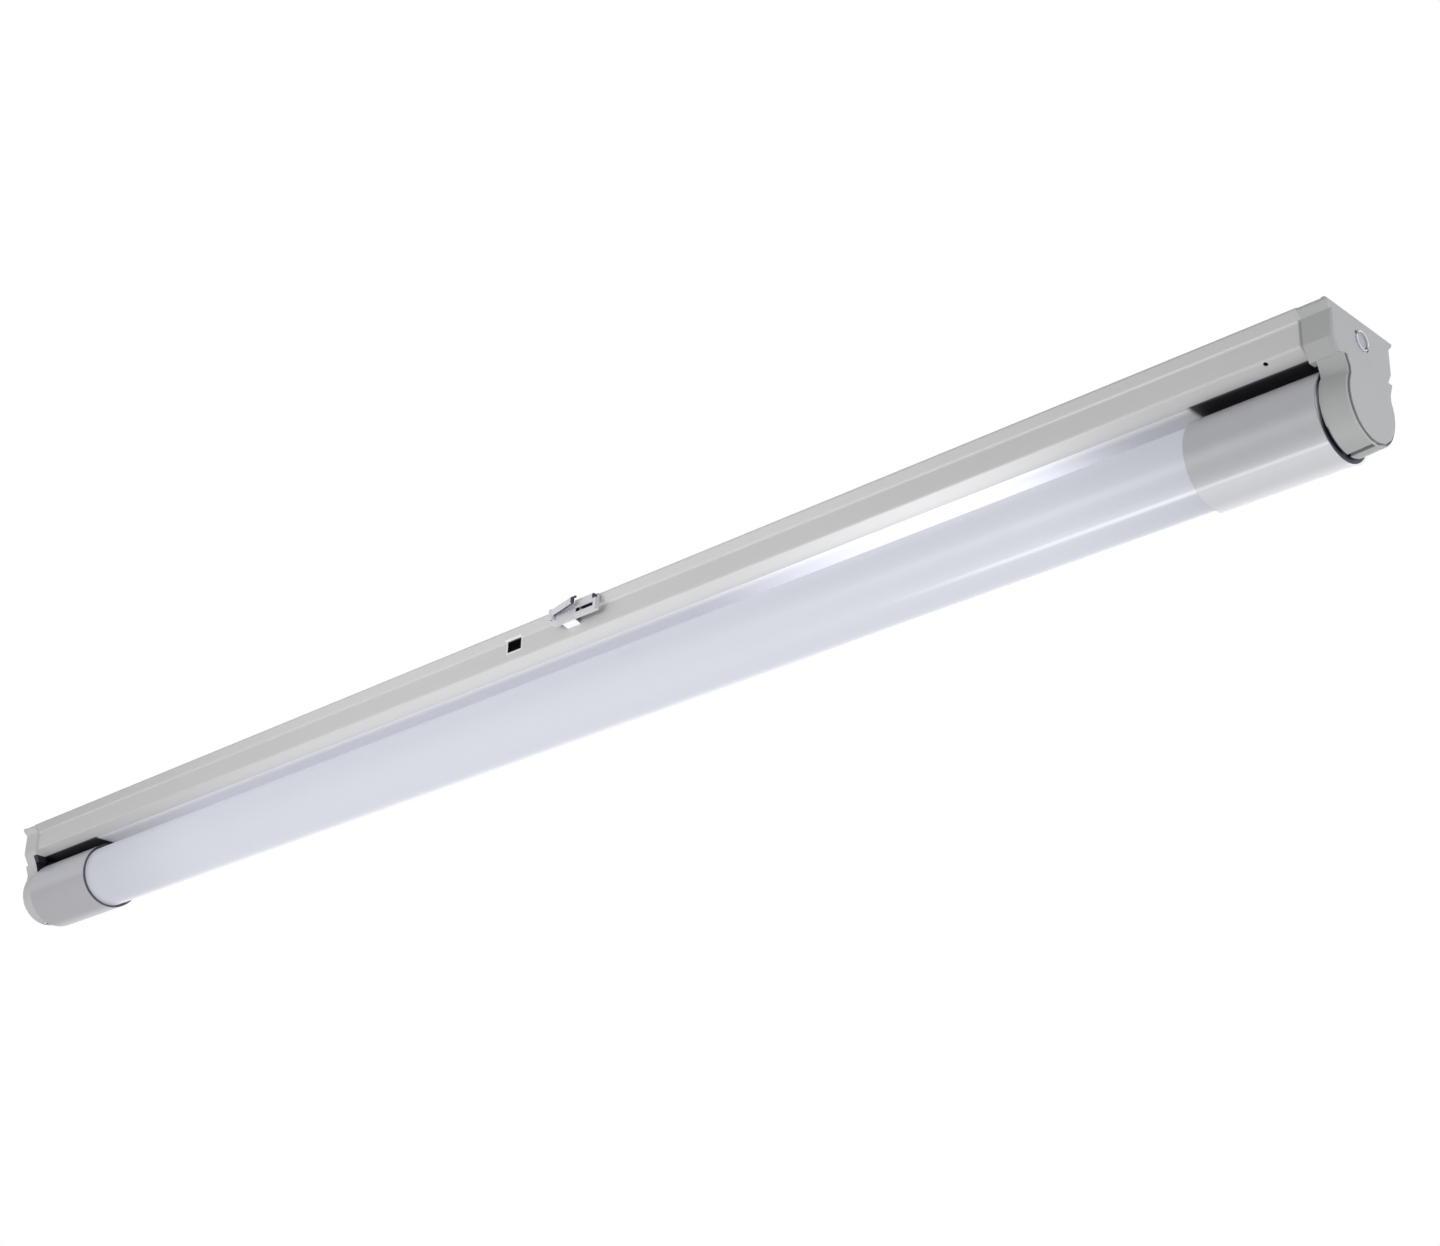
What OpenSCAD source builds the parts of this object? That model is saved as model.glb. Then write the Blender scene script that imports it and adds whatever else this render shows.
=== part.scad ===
// Ceiling batten light: a folded steel spine whose moulded ends hold one glowing tube on twist-in pins.
// X runs along the light, +Z points up at the ceiling, and the origin is the middle of the ceiling face.

/* [Overall] */
// Length over both lampholders
overall_l = 1206; // [600:2:1500]
// Gap between the underside of the spine and the sleeves of the lamp
lamp_gap = 1.2; // [0.8:0.1:6]

/* [Spine] */
// Width over the top flanges
flange_w = 61.6; // [58:0.2:70]
// Height of the sloping top flanges
flange_h = 5.2; // [3:0.2:8]
// Step from the edge of each top flange in to the side wall
flange_step = 4.7; // [3:0.1:7]
// Height of the side walls, from the ceiling to the lower bend
wall_h = 19.6; // [16:0.2:22]
// Width of the sloping bend below each side wall
chamfer_w = 9.1; // [5:0.1:12]
// Depth of the spine below the ceiling
spine_h = 24.2; // [23:0.2:34]
// Thickness of the folded sheet
sheet_t = 0.8; // [0.5:0.1:1.2]
// Outer radius of the bends
bend_r = 1.6; // [0.9:0.1:2.4]

/* [Lamp] */
// Diameter of the glowing tube
tube_d = 46.4; // [40:0.2:47]
// Wall of the glowing tube
tube_wall = 1.2; // [0.8:0.1:2]
// Ring gap between the tube and the end sleeves
ring_gap = 0.9; // [0.6:0.1:3]
// Wall of the end sleeves
sleeve_wall = 1.1; // [0.8:0.1:1.4]
// Length of each end sleeve
sleeve_l = 77; // [60:1:120]
// Distance between the two contact pins
pin_pitch = 12.7; // [10:0.1:16]
// Diameter of a contact pin
pin_d = 2.35; // [2:0.05:3]
// Length of a contact pin outside the lamp
pin_l = 6.6; // [6:0.1:7.1]
// Number of light-emitting chips
chip_count = 72; // [24:1:96]

/* [End caps] */
// How far an end cap stands out over the flanges of the spine
rim_over = 0.2; // [0.1:0.1:2]
// Thickness of an end cap's side walls
cap_wall = 1.2; // [1:0.1:3]
// Depth of the collar that grips the spine
collar_l = 17; // [12:0.5:24]
// Thickness of the end wall
end_wall = 3; // [2:0.1:4]
// How much smaller the lampholder's radius is than the sleeve's
lobe_inset = 1.8; // [0:0.1:3]
// How far the waist above the lampholder is drawn in from its radius
waist_inset = 3.2; // [1:0.1:5]
// Depth of a lampholder
holder_l = 15.2; // [15:0.1:20]
// How far a lampholder's cover stands out beyond the end wall
cover_out = 3; // [1:0.1:6]
// Taper of the round lampholder towards its cover
lobe_taper = 1; // [0:0.1:3]
// Radius of the turning rotor
rotor_r = 14.1; // [12:0.1:15]
// Width of the slot that the pins enter from below
entry_w = 3; // [2.8:0.1:3.6]

/* [Latch and openings] */
// Place of the latch pivot along the spine
latch_x = 35.3; // [20:0.1:120]
// Length of the latch plate
latch_l = 41.8; // [38:0.1:60]
// Length of the latch lever
lever_l = 24.5; // [20:0.5:27]
// Length of the side window
window_l = 12.4; // [8:0.2:20]
// Height of the side window
window_h = 6.9; // [4:0.1:7.2]
// Place of the middle of the side window along the spine
window_x = -8.6; // [-14:0.1:6]
// Distance between the two ceiling screws
fixing_pitch = 900; // [400:10:1100]
// Radius of a ceiling screw hole
fixing_r = 2.6; // [2:0.1:3.5]
// Radius of the supply cable entry
cable_r = 5; // [4:0.1:6]

/* [Hidden] */
$fn = 96;

white_steel = [0.80, 0.80, 0.79];
white_plastic = [0.77, 0.78, 0.79];
opal = [0.90, 0.92, 0.97];
dark_rubber = [0.13, 0.13, 0.16];
brass = [0.80, 0.65, 0.36];
zinc = [0.70, 0.71, 0.72];
copper_lead = [0.62, 0.20, 0.14];
board_green = [0.12, 0.38, 0.22];

over = 1;            // overrun of every cut
seam = 0.1;          // gap between pieces that lie face to face
arc_steps = 5;       // steps round a rounded corner

// Places along the light, measured from its middle
rim_step = 0.8;      // how far the cover stands out of the lampholder's rim
lamp_play = 1.6;     // space between a lampholder and the end of the lamp
x_tip = overall_l / 2;
x_rim = x_tip - rim_step;
x_end = x_tip - cover_out;
x_wall = x_end - end_wall;
x_collar = x_end - collar_l;
x_holder = x_rim - holder_l;
x_lamp = x_holder - lamp_play;
x_sleeve = x_lamp - sleeve_l;
spine_end = x_wall - 2 * seam;
tray_end = x_collar - seam;

// Half sizes of the spine
flange_hw = flange_w / 2;
wall_hw = flange_hw - flange_step;
floor_hw = wall_hw - chamfer_w;
chamfer_slope = (spine_h - wall_h) / (wall_hw - floor_hw);

// The lamp's axis
tube_r = tube_d / 2;
sleeve_bore_r = tube_r + ring_gap;
sleeve_r = sleeve_bore_r + sleeve_wall;
lamp_z = -(spine_h + lamp_gap + sleeve_r);
ring_fit = 0.05;      // gap round a piece in its bore
tube_bore_r = tube_r - tube_wall;
pin_r = pin_d / 2;

// Outline of an end cap
rim_hw = flange_hw + rim_over;
cap_hw = wall_hw + seam + cap_wall;
rim_edge = 2;
rim_h = 5.3;
rim_corner_r = 1.2;
cap_corner_r = 1;
cap_bend_r = 2;
cap_drop = 0.9;
cap_bend = wall_h + cap_drop;
lobe_r = sleeve_r - lobe_inset;
waist_hw = lobe_r - waist_inset;
shoulder_drop = 4.6;
shoulder_step = 2.6;
waist_drop = 7;
waist_h = 3;
shoulder_z = -(spine_h + shoulder_drop);
shoulder_hw = waist_hw + shoulder_step;
waist_top = shoulder_z - waist_drop;
waist_low = waist_top - waist_h;
lobe_rise = 1.3;
lobe_z = lamp_z + lobe_rise;
top_wall = 1.5;
tongue_inset = 0.5;
tongue_hw = floor_hw - tongue_inset;
edge_bevel = 0.9;
cover_t = 2.2;
cover_gap = 1.1;     // open joint round the cover
cover_inset = 1.8;   // how far the cover is drawn in from the lampholder's outline
rim_bevel = 0.7;

// Lampholder inside
rotor_fit = 0.06;
rotor_bore_r = rotor_r + rotor_fit;
rotor_face = 0.3;
pin_room = 0.5;      // space round the pins in the rotor's slot
rotor_slot_w = pin_d + pin_room;
rotor_slot_l = pin_l - lamp_play + pin_room;
rotor_floor = 1.2;
rotor_flange_t = 1.2;
rotor_flange_w = 1.7;
rotor_flange_r = rotor_r + rotor_flange_w;
rotor_back = x_holder + rotor_face + rotor_slot_l + rotor_floor;
flange_play = 0.15;  // end play of the rotor's flange
flange_room = 0.4;   // space round it
back_bore_x = rotor_back - rotor_flange_t - flange_play;
back_bore_r = rotor_flange_r + flange_room;
blade_t = 0.8;
blade_w = 4;
blade_gap = 0.5;
blade_rise = 5;
blade_tail = 3;
blade_x = rotor_back + blade_gap;
blade_top = -(spine_h - blade_rise);
blade_low = lamp_z - blade_tail;
wire_r = 1.1;
wire_z = -(spine_h - sheet_t) + wire_r + seam;

// Rounds the corners of an outline, each by its own radius
function unit(v) = v / norm(v);
function corner(p, q, s, r) =
    let (a = unit(p - q), b = unit(s - q))
    let (half = acos(max(-1, min(1, a * b))) / 2)
    let (m = q + unit(a + b) * r / sin(half))
    let (from = q + a * r / tan(half) - m, to = q + b * r / tan(half) - m)
    let (sweep = atan2(from[0] * to[1] - from[1] * to[0], from * to))
    let (base = atan2(from[1], from[0]))
    [for (i = [0 : arc_steps])
        let (at = base + sweep * i / arc_steps) m + r * [cos(at), sin(at)]];
function rounded(points, radii) =
    let (n = len(points))
    [for (i = [0 : n - 1])
        let (p = points[(i + n - 1) % n], q = points[i], s = points[(i + 1) % n])
        each (radii[i] > 0 ? corner(p, q, s, radii[i]) : [q])];
function across(points) =
    concat(points, [for (i = [len(points) - 1 : -1 : 0]) [-points[i][0], points[i][1]]]);
function twice(values) = concat(values, [for (i = [len(values) - 1 : -1 : 0]) values[i]]);

// Extrudes a Y-Z profile along X
module bar(from, to) {
    translate([from, 0, 0]) rotate([90, 0, 90]) linear_extrude(to - from) children();
}

// A round rod along X at a height and an offset
module rod(from, to, r, y = 0, z = 0) {
    translate([from, y, z]) rotate([0, 90, 0]) cylinder(r = r, h = to - from);
}

// Puts a right-hand piece at the left end
module left() {
    mirror([1, 0, 0]) children();
}

// Folded spine: outer and inner lines of the sheet
flange_edge = 1;     // upright edge at the top of each flange
flange_lip = 0.8;    // lip at the foot of each flange
spine_line = [
    [flange_hw, 0], [flange_hw, -flange_edge], [wall_hw + flange_lip, -flange_h],
    [wall_hw, -flange_h - flange_lip / 2], [wall_hw, -wall_h], [floor_hw, -spine_h]
];
spine_inside = [
    [flange_hw - sheet_t, over], [flange_hw - sheet_t, -flange_edge], [wall_hw - sheet_t, -flange_h],
    [wall_hw - sheet_t, sheet_t / 2 - wall_h], [floor_hw - sheet_t / 4, sheet_t - spine_h]
];
end_line = [[wall_hw, -top_wall - seam], [wall_hw, -wall_h], [floor_hw, -spine_h]];
end_inside = [
    [wall_hw - sheet_t, over], [wall_hw - sheet_t, sheet_t / 2 - wall_h],
    [floor_hw - sheet_t / 4, sheet_t - spine_h]
];
inner_r = bend_r - sheet_t;

module spine_profile() {
    difference() {
        polygon(rounded(across(spine_line), twice([0, 0, flange_lip / 2, 0, bend_r, bend_r])));
        polygon(rounded(across(spine_inside), twice([0, 0, 0, inner_r, inner_r])));
    }
}

module spine_end_profile() {
    difference() {
        polygon(rounded(across(end_line), twice([0, bend_r, bend_r])));
        polygon(rounded(across(end_inside), twice([0, inner_r, inner_r])));
    }
}

// Small vent hole in the lower bend, near the right-hand cap
vent_inset = 23.6;
vent_r = 1.3;
vent_drop = 0.9;
screw_r = 1.5;
screw_head_r = 2.8;
screw_head_h = 1.6;
screw_rim = 0.7;     // flat share of a screw head's radius
screw_l = 9.5;
screw_inset = 3.4;
holder_screw_x = x_holder + screw_inset;

module spine() {
    color(white_steel)
    difference() {
        union() {
            bar(-tray_end, tray_end) spine_profile();
            bar(tray_end, spine_end) spine_end_profile();
            bar(-spine_end, -tray_end) spine_end_profile();
        }
        translate([window_x - window_l / 2, -wall_hw - over, window_z - window_h / 2])
            cube([window_l, sheet_t + 2 * over, window_h]);
        translate([x_end - collar_l - vent_inset, -wall_hw + vent_drop / chamfer_slope, -wall_h - vent_drop])
            rotate([180 - atan(chamfer_slope), 0, 0])
                translate([0, 0, -2 * over]) cylinder(r = vent_r, h = 4 * over);
        for (side = [-1, 1]) {
            translate([side * holder_screw_x, 0, -spine_h - over])
                cylinder(r = screw_r + seam, h = sheet_t + 2 * over);
            translate([side * (spine_end - notch_l / 2), 0, -spine_h])
                cube([notch_l + over, notch_w, 4 * sheet_t], center = true);
        }
        translate([earth_x, 0, -spine_h - over]) cylinder(r = screw_r, h = sheet_t + 2 * over);
    }
}

// The floor is notched at both ends, where the contacts rise into the spine
notch_room = 1;      // space round the blades
notch_l = spine_end - blade_x + notch_room;
notch_w = pin_pitch + blade_w + 2 * notch_room;

// The window sits a little above the middle of the side wall
window_rise = 3.15;
window_z = -(flange_h + wall_h) / 2 + window_rise;
plate_margin = 1.4;
plate_t = 1.6;
slit_w = 0.5;

module window_plate() {
    color(dark_rubber)
    translate([window_x, -wall_hw + sheet_t + ring_fit, window_z])
    difference() {
        translate([-window_l / 2 - plate_margin, 0, -window_h / 2 - plate_margin])
            cube([window_l + 2 * plate_margin, plate_t, window_h + 2 * plate_margin]);
        translate([-window_l / 2 + plate_margin, -over, -slit_w / 2])
            cube([window_l - 2 * plate_margin, plate_t + 2 * over, slit_w]);
    }
}

// Tray that is screwed to the ceiling and closes the top of the spine
tray_hw = flange_hw - sheet_t - 2 * seam;
tray_lip_hw = wall_hw - sheet_t - 2 * seam;
tray_lip_h = 4;
tray_line = [
    [tray_hw, 0], [tray_hw, -sheet_t], [tray_lip_hw, -sheet_t], [tray_lip_hw, -tray_lip_h],
    [tray_lip_hw - sheet_t, -tray_lip_h], [tray_lip_hw - sheet_t, -sheet_t]
];
cable_x = -95;
grommet_t = 2;       // wall of the grommet, and the width and thickness of its flange
grommet_l = 6;
grommet_body_r = cable_r + grommet_t;
grommet_flange_r = cable_r + 2 * grommet_t;

module mounting_tray() {
    color(zinc)
    difference() {
        bar(-tray_end + seam, tray_end - seam)
            polygon(across(tray_line));
        for (side = [-1, 1])
            translate([side * fixing_pitch / 2, 0, -sheet_t - over])
                cylinder(r = fixing_r, h = sheet_t + 2 * over);
        translate([cable_x, 0, -sheet_t - over])
            cylinder(r = grommet_body_r + ring_fit, h = sheet_t + 2 * over);
    }
}

module cable_grommet() {
    color(dark_rubber)
    translate([cable_x, 0, 0])
    rotate_extrude()
        polygon([
            [cable_r, 0], [grommet_body_r, 0], [grommet_body_r, -sheet_t], [grommet_flange_r, -sheet_t],
            [grommet_flange_r, -sheet_t - grommet_t], [grommet_body_r, -grommet_l], [cable_r, -grommet_l]
        ]);
}

// Terminal block on the floor of the spine
block_x = -62;
block_l = 30;
block_w = 26;
block_h = 13;
block_step = 4;
pole_count = 3;
pole_w = block_w / pole_count;
block_floor = -(spine_h - sheet_t);
block_screw_r = 2;
block_screw_h = 2;
block_hole_r = 1.9;
block_hole_z = 7.5;

module terminal_block() {
    color([0.86, 0.86, 0.83])
    translate([block_x, 0, block_floor + seam])
    difference() {
        bar(0, block_l)
            polygon([
                [-block_w / 2, 0], [block_w / 2, 0], [block_w / 2, block_h - block_step],
                [block_w / 2 - block_step / 2, block_h], [block_step / 2 - block_w / 2, block_h],
                [-block_w / 2, block_h - block_step]
            ]);
        for (i = [0 : pole_count - 1]) {
            translate([block_l / 2, (i - 1) * pole_w, block_h - block_screw_h])
                cylinder(r = block_screw_r + seam, h = block_screw_h + over);
            rod(-over, block_l / 4, block_hole_r, (i - 1) * pole_w, block_hole_z);
            rod(3 * block_l / 4, block_l + over, block_hole_r, (i - 1) * pole_w, block_hole_z);
        }
    }
}

module terminal_screws() {
    color(brass)
    for (i = [0 : pole_count - 1])
        translate([block_x + block_l / 2, (i - 1) * pole_w, block_floor + seam + block_h - block_screw_h])
        difference() {
            cylinder(r = block_screw_r, h = block_screw_h - seam);
            translate([-block_screw_r, -slit_w / 2, block_screw_h / 2])
                cube([2 * block_screw_r, slit_w, block_screw_h]);
        }
}

earth_x = -125;
tag_l = 16;
tag_w = 6.3;
tag_t = 0.8;

module earth_tag() {
    color(brass)
    translate([earth_x, 0, block_floor])
    difference() {
        union() {
            cylinder(r = tag_w / 2, h = tag_t);
            translate([0, -tag_w / 2, 0]) cube([tag_l, tag_w, tag_t]);
            translate([tag_l - tag_t, -tag_w / 2, 0]) cube([tag_t, tag_w, tag_l / 2]);
        }
        translate([0, 0, -over]) cylinder(r = screw_r + seam, h = tag_t + 2 * over);
    }
}

module pan_screw(length) {
    rotate_extrude()
        polygon([
            [0, screw_head_h], [screw_head_r * screw_rim, screw_head_h], [screw_head_r, screw_head_h / 2],
            [screw_head_r, 0], [screw_r, 0], [screw_r, -length + screw_r], [0, -length]
        ]);
}

module earth_screw() {
    color(brass)
    translate([earth_x, 0, block_floor + tag_t]) pan_screw(tag_t + sheet_t + screw_r);
}

module holder_screws() {
    color(zinc)
    for (side = [-1, 1])
        translate([side * holder_screw_x, 0, block_floor]) pan_screw(screw_l);
}

// Leads from the terminal block to the contacts, lying on the floor of the spine
module lead_pair(from, to) {
    color(copper_lead)
    for (side = [-1, 1])
        rod(from, to, wire_r, side * pin_pitch / 2, wire_z);
}

module wires_right() {
    lead_pair(block_x + block_l + seam, blade_x - seam);
}

module wires_left() {
    left() lead_pair(-block_x + seam, blade_x - seam);
}

// Outline of the moulded cap round the spine, and the space inside it
cap_line = [
    [rim_hw, 0], [rim_hw, -rim_edge], [cap_hw, -rim_h], [cap_hw, -cap_bend],
    [shoulder_hw, shoulder_z + seam / 2]
];
cap_radii = [rim_corner_r, cap_corner_r, cap_corner_r, cap_bend_r, 0];
cap_inside = [
    [wall_hw + seam, -top_wall], [wall_hw + seam, -wall_h], [floor_hw + seam, -spine_h - seam],
    [tongue_hw + seam, -spine_h - seam], [tongue_hw + seam, shoulder_z - over]
];

// Shoulder and waist of the lampholder, drawn in by an inset
module waist_outline(inset) {
    polygon(across([
        [shoulder_hw - inset, shoulder_z - seam / 2 - inset / 2], [waist_hw - inset, waist_top],
        [waist_hw - inset, waist_low], [waist_hw - inset, lobe_z]
    ]));
}

// Round part below the waist, at the cover's end
module lobe_outline(inset) {
    translate([0, lobe_z])
        intersection() {
            circle(r = lobe_r - lobe_taper - inset);
            translate([-lobe_r, -lobe_r]) square([2 * lobe_r, lobe_r + waist_low - lobe_z]);
        }
}

// Round part of the lampholder, with its taper and the bevel at its rim
module lobe() {
    intersection() {
        translate([0, 0, lobe_z]) rotate([0, 90, 0])
            rotate_extrude()
                polygon([
                    [0, x_holder], [lobe_r, x_holder], [lobe_r - lobe_taper, x_rim - rim_bevel],
                    [lobe_r - lobe_taper - rim_bevel, x_rim], [0, x_rim]
                ]);
        translate([x_holder - over, -lobe_r, lobe_z - lobe_r - over])
            cube([holder_l + 2 * over, 2 * lobe_r, lobe_r + over + waist_low - lobe_z]);
    }
}

plug_r = 5.5;
plug_z = -12.4;
plug_flange = 1.5;
plug_ring = 0.7;
plug_out = 0.8;
plug_sink = 1.2;
plug_angle = 57;
notch_size = 2.4;

// Two notches beside the plug, for the blade that prises it out
module blade_notches() {
    translate([x_end + plug_out - notch_size / 2, 0, plug_z]) rotate([plug_angle, 0, 0])
        for (side = [-1, 1])
            translate([0, 0, side * plug_r]) cube([2 * notch_size, notch_size, notch_size], center = true);
}

// The slab of the end face, with its outer edges bevelled
module bevelled(points) {
    hull() {
        bar(x_wall, x_end - edge_bevel) polygon(points);
        bar(x_wall, x_end) offset(delta = -edge_bevel) polygon(points);
    }
}

module end_cap() {
    color(white_plastic)
    difference() {
        union() {
            difference() {
                bar(x_collar, x_wall) polygon(rounded(across(cap_line), twice(cap_radii)));
                bar(x_collar - over, x_wall + over) polygon(across(cap_inside));
            }
            bevelled(across([[rim_hw, 0], [rim_hw, -rim_edge], [cap_hw, -rim_h]]));
            bevelled(across([[cap_hw, -rim_edge], [cap_hw, -cap_bend], [shoulder_hw, shoulder_z]]));
        }
        rod(x_wall - over, x_end + over, plug_r + seam, 0, plug_z);
        blade_notches();
    }
}

module end_cap_right() {
    end_cap();
}

module end_cap_left() {
    left() end_cap();
}

// Blanking plug in the cable hole of an end wall: a dish with a raised rim
module cable_plug() {
    color([0.74, 0.75, 0.78])
    difference() {
        union() {
            rod(x_wall - plug_flange, x_wall - seam, plug_r + plug_flange, 0, plug_z);
            rod(x_wall - plug_flange, x_end + plug_out, plug_r, 0, plug_z);
        }
        rod(x_end + plug_out - plug_sink, x_tip, plug_r - plug_ring, 0, plug_z);
        blade_notches();
    }
}

module cable_plug_right() {
    cable_plug();
}

module cable_plug_left() {
    left() cable_plug();
}

// Lampholder: a lobed block with the rotor's bore, and a slot that lets the pins in from below
module lampholder() {
    color(white_plastic)
    difference() {
        union() {
            bar(x_holder, x_rim) waist_outline(0);
            lobe();
            bar(x_holder, x_wall - seam)
                translate([-tongue_hw, shoulder_z - over])
                    square([2 * tongue_hw, -spine_h - seam - shoulder_z + over]);
        }
        rod(x_holder - over, back_bore_x + over, rotor_bore_r, 0, lamp_z);
        rod(back_bore_x, x_tip, back_bore_r, 0, lamp_z);
        bar(x_tip - cover_t - seam, x_tip) waist_outline(cover_inset - cover_gap);
        bar(x_tip - cover_t - seam, x_tip) lobe_outline(cover_inset - cover_gap);
        translate([x_holder - over, -entry_w / 2, lobe_z - lobe_r - over])
            cube([holder_l - rim_bevel + over, entry_w, lobe_r]);
        translate([blade_x - 2 * seam, -notch_w / 2, lamp_z])
            cube([x_wall - blade_x + 2 * seam, notch_w, -lamp_z]);
        translate([holder_screw_x, 0, block_floor - screw_l - over / 2])
            cylinder(r = screw_r + ring_fit, h = 2 * screw_l);
    }
}

module lampholder_right() {
    lampholder();
}

// Cover that closes the back of a lampholder
module holder_cover() {
    color([0.76, 0.77, 0.80])
    union() {
        bar(x_tip - cover_t, x_tip) waist_outline(cover_inset);
        bar(x_tip - cover_t, x_tip) lobe_outline(cover_inset);
    }
}

module holder_cover_right() {
    holder_cover();
}

module holder_cover_left() {
    left() holder_cover();
}

module lampholder_left() {
    left() lampholder();
}

// Rotor: a flanged drum with the slot that carries the pins round
module rotor() {
    color([0.88, 0.88, 0.86])
    difference() {
        union() {
            rod(x_holder + rotor_face, rotor_back, rotor_r, 0, lamp_z);
            rod(rotor_back - rotor_flange_t, rotor_back, rotor_flange_r, 0, lamp_z);
        }
        translate([x_holder, -rotor_flange_r - over, lamp_z - rotor_slot_w / 2])
            cube([rotor_face + rotor_slot_l, 2 * rotor_flange_r + 2 * over, rotor_slot_w]);
    }
}

module rotor_right() {
    rotor();
}

module rotor_left() {
    left() rotor();
}

// Two spring blades behind the rotor, which rise into the spine and take the leads
module contacts() {
    color(brass)
    for (side = [-1, 1])
        translate([blade_x, side * pin_pitch / 2 - blade_w / 2, blade_low])
        union() {
            cube([blade_t, blade_w, blade_top - blade_low]);
            translate([0, 0, blade_top - blade_low - blade_t]) cube([2 * blade_t, blade_w, blade_t]);
        }
}

module contacts_right() {
    contacts();
}

module contacts_left() {
    left() contacts();
}

// Latch on the near side of the spine: a plate with a box-shaped keeper, and a lever that leans out over it
knuckle_r = 1.9;
latch_pin_r = 0.9;
latch_fit = 0.05;
latch_t = 0.8;
knuckle_gap = 0.2;
plate_y = -(flange_hw + seam);
pivot_y = plate_y - latch_t - knuckle_gap - knuckle_r;
keeper_x = 22.2;
keeper_out = 2.6;
keeper_y = plate_y - latch_t - keeper_out;
latch_top = -0.3;
latch_low = -11.4;
latch_h = latch_top - latch_low;
lever_top = -0.8;
lever_low = -4.6;
knuckle_low = -7.4;
pin_head_r = 1.5;
pin_head_t = 0.5;
lever_t = 1;
lever_lean = 0.6;    // how far the lever's root stands out from the pivot
lever_rise = 5.2;
buffer_x = 3;
buffer_t = 1.1;
pull_l = 3.4;
pull_h = 1.1;
slot_l = 16;
slot_h = 2.7;
slot_z = -7.3;
slot_inset = 2.6;
corner_notch = 2;
tab_l = 11.8;
tab_x = 8;
tab_drop = 1.5;
tab_foot_y = -(wall_hw + seam);

module latch_plate() {
    color([0.84, 0.84, 0.86])
    difference() {
        union() {
            translate([latch_x, plate_y - latch_t, latch_low]) cube([keeper_x + latch_t, latch_t, latch_h]);
            translate([latch_x, pivot_y, knuckle_low])
                cylinder(r = knuckle_r, h = lever_low - seam - knuckle_low);
            translate([latch_x - knuckle_r, pivot_y, knuckle_low])
                cube([2 * knuckle_r, plate_y - pivot_y, lever_low - seam - knuckle_low]);
            translate([latch_x + tab_x, 0, 0]) rotate([90, 0, 90]) linear_extrude(tab_l)
                polygon([
                    [plate_y, latch_low + latch_t], [plate_y - latch_t, latch_low],
                    [tab_foot_y, latch_low - tab_drop], [tab_foot_y, latch_low - tab_drop + latch_t]
                ]);
            difference() {
                translate([latch_x + keeper_x, keeper_y, latch_low])
                    cube([latch_l - keeper_x, latch_t + keeper_out, latch_h]);
                translate([latch_x + keeper_x + latch_t, keeper_y + latch_t, latch_low + latch_t])
                    cube([latch_l - keeper_x - 2 * latch_t, keeper_out + over, latch_h - 2 * latch_t]);
            }
        }
        translate([latch_x + latch_l - slot_inset - slot_l, keeper_y - over, slot_z - slot_h / 2])
            cube([slot_l, latch_t + 2 * over, slot_h]);
        translate([latch_x + latch_l - corner_notch, keeper_y - over, latch_top - corner_notch])
            cube([corner_notch + over, latch_t + 2 * over, corner_notch + over]);
        translate([latch_x, pivot_y, knuckle_low - over]) cylinder(r = latch_pin_r, h = -knuckle_low + over);
    }
}

module latch_pin() {
    color(zinc)
    translate([latch_x, pivot_y, 0])
    union() {
        translate([0, 0, knuckle_low]) cylinder(r = latch_pin_r, h = lever_top + seam - knuckle_low);
        translate([0, 0, lever_top + seam]) cylinder(r = pin_head_r, h = pin_head_t);
    }
}

// Plan of the lever, which leans out from the pivot to its free end
lever_line = [
    [0, -lever_t / 2 - lever_lean], [lever_l, -lever_rise - lever_t], [lever_l, -lever_rise],
    [0, lever_t / 2 - lever_lean]
];

module latch_lever() {
    color([0.86, 0.86, 0.88])
    translate([latch_x, pivot_y, lever_low])
    difference() {
        union() {
            linear_extrude(lever_top - lever_low) polygon(lever_line);
            cylinder(r = knuckle_r, h = lever_top - lever_low);
        }
        translate([0, 0, -over]) cylinder(r = latch_pin_r + latch_fit, h = lever_top - lever_low + 2 * over);
    }
}

// Rubber buffer behind the lever, wrapped round its free end, with a small pull at the top
buffer_y = lever_t / 2 - lever_lean - buffer_x * (lever_rise + lever_t / 2 - lever_lean) / lever_l;
buffer_line = [
    [buffer_x, buffer_y + seam], [lever_l + seam, seam - lever_rise], [lever_l + seam, -lever_rise - lever_t],
    [lever_l + seam + buffer_t, -lever_rise - lever_t],
    [lever_l + seam + buffer_t, seam + buffer_t - lever_rise], [buffer_x, buffer_y + seam + buffer_t]
];

module lever_buffer() {
    color(dark_rubber)
    translate([latch_x, pivot_y, lever_low])
    union() {
        linear_extrude(lever_top - lever_low) polygon(buffer_line);
        translate([lever_l + seam, -lever_rise - lever_t, lever_top - lever_low - pull_h])
            cube([buffer_t + pull_l, buffer_t, pull_h]);
    }
}

// Lamp: tube, sleeves, seals and bases
base_t = 6;
spigot_l = 8;
seal_inset = 2.5;
seal_l = 10;
base_x = x_lamp - base_t;
tube_end = base_x - seam;

module ring(from, to, outer, inner) {
    translate([0, 0, lamp_z])
    difference() {
        rod(from, to, outer);
        rod(from - over, to + over, inner);
    }
}

module diffuser_tube() {
    color(opal) ring(-tube_end, tube_end, tube_r, tube_bore_r);
}

module sleeve() {
    color(white_plastic) ring(x_sleeve, x_lamp, sleeve_r, sleeve_bore_r);
}

module sleeve_right() {
    sleeve();
}

module sleeve_left() {
    left() sleeve();
}

module tube_seal() {
    color(dark_rubber)
    ring(x_sleeve + seal_inset, x_sleeve + seal_inset + seal_l, sleeve_bore_r - ring_fit, tube_r + ring_fit);
}

module tube_seal_right() {
    tube_seal();
}

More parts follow.
